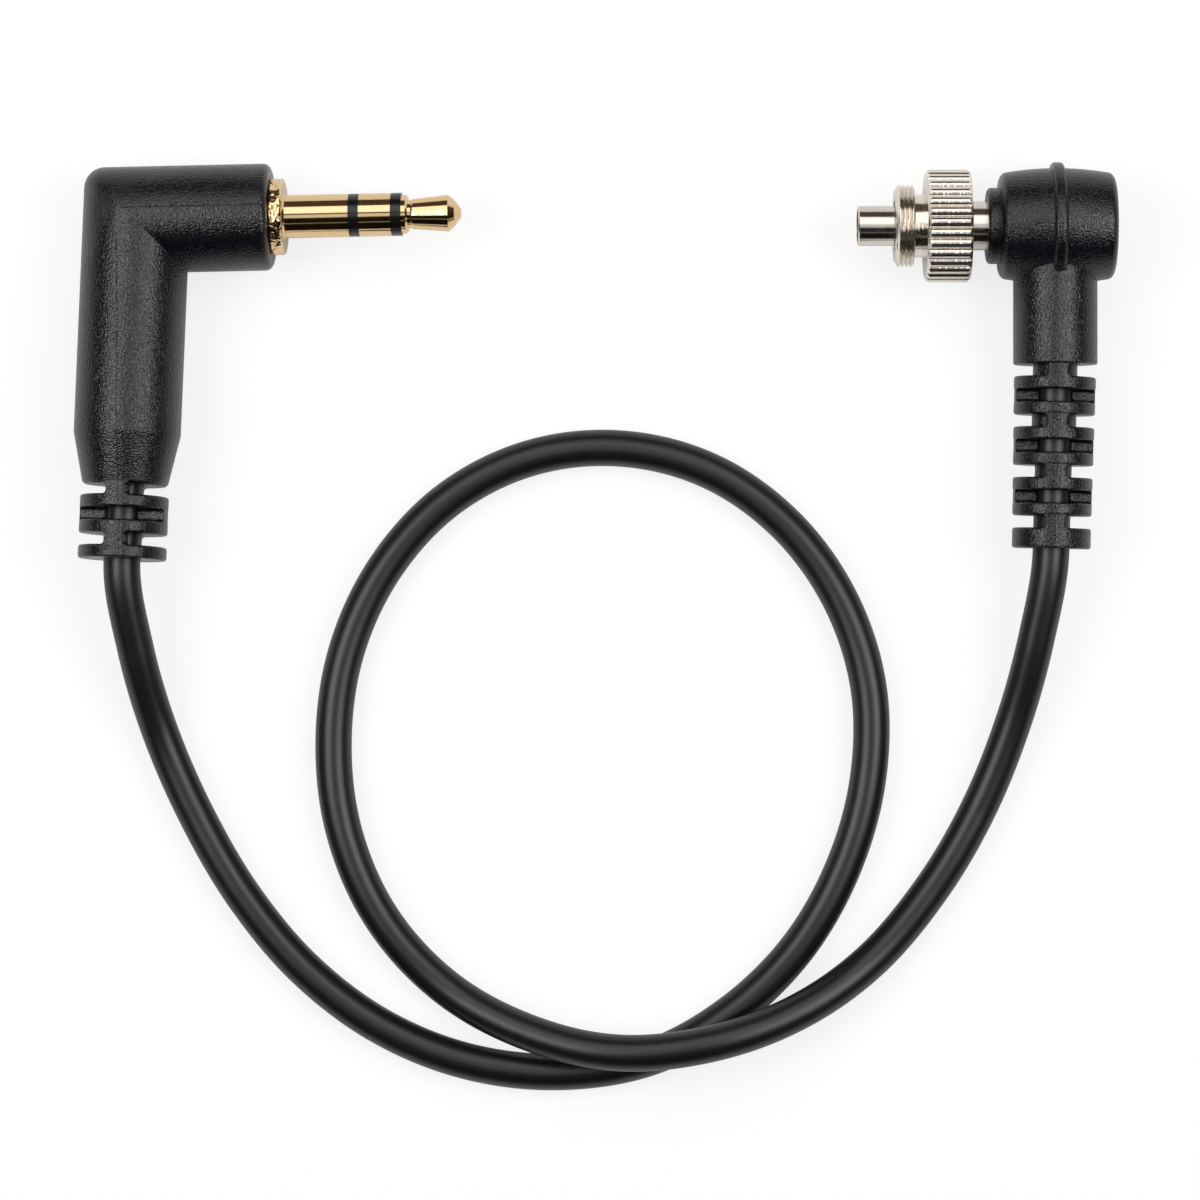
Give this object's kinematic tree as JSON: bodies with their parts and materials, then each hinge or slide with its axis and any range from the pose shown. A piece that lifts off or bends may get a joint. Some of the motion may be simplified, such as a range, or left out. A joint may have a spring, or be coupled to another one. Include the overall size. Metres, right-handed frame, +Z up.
{
  "type": "flash sync cord",
  "caption": "Thin black flash sync cord with a right-angle stereo jack plug at one end and a right-angle sync plug with a screw-locking ring at the other, laid in an open loop.",
  "frame": {"origin": "bottom centre of the box round the two plugs, on the surface that the cord lies on", "axes": "+Z up from that surface; -X is the way that the sync plug's contact points, and +X is about the way that the jack points; the cable leaves both plugs towards -Y"},
  "size_m": [0.0846, 0.0759, 0.0103],
  "materials": {
    "gold_plate": "bright gold plate over turned brass",
    "band_plastic": "gloss black",
    "moulded_pvc": "matte black with a fine spark-eroded texture",
    "cable_jacket": "satin black",
    "nickel_plate": "nickel plate over turned brass, with turning lines",
    "tinned_brass": "tinned, dull",
    "copper_wire": "bare copper",
    "core_insulation": "white",
    "solder": "bright solder",
    "premould_pe": "natural polyethylene",
    "fibre": "pressed fibre",
    "spring_steel": "bright spring wire"
  },
  "bodies": {
    "cord": {"jack_tip": "gold_plate", "jack_tip_insulator": "band_plastic", "jack_ring": "gold_plate", "jack_ring_insulator": "band_plastic", "jack_sleeve": "gold_plate", "jack_ground_lug": "tinned_brass", "jack_front_washer": "fibre", "jack_ring_lug": "tinned_brass", "jack_rear_washer": "fibre", "jack_tip_lug": "tinned_brass", "jack_conductor": "copper_wire", "jack_core": "core_insulation", "jack_shield_tail": "copper_wire", "jack_solder": "solder", "jack_premould": "premould_pe", "jack_housing": "moulded_pvc", "cable": "cable_jacket", "pc_contact": "nickel_plate", "pc_insulator": "premould_pe", "pc_pin": "nickel_plate", "pc_ground_lug": "tinned_brass", "pc_conductor": "copper_wire", "pc_core": "core_insulation", "pc_shield_tail": "copper_wire", "pc_solder": "solder", "pc_premould": "premould_pe", "pc_housing": "moulded_pvc"},
    "retaining_ring": {"pc_retaining_ring": "spring_steel"},
    "locking_ring": {"pc_locking_ring": "nickel_plate"}
  },
  "joints": [
    {"name": "ring_slide", "type": "slide", "parent": "cord", "child": "retaining_ring", "axis": [1, 0, 0], "range_m": [0, 0.0013]},
    {"name": "ring_turn", "type": "hinge", "parent": "retaining_ring", "child": "locking_ring", "pos_m": [0.02875, 0.0111, 0.00517], "axis": [-1, 0, 0], "continuous": true}
  ]
}
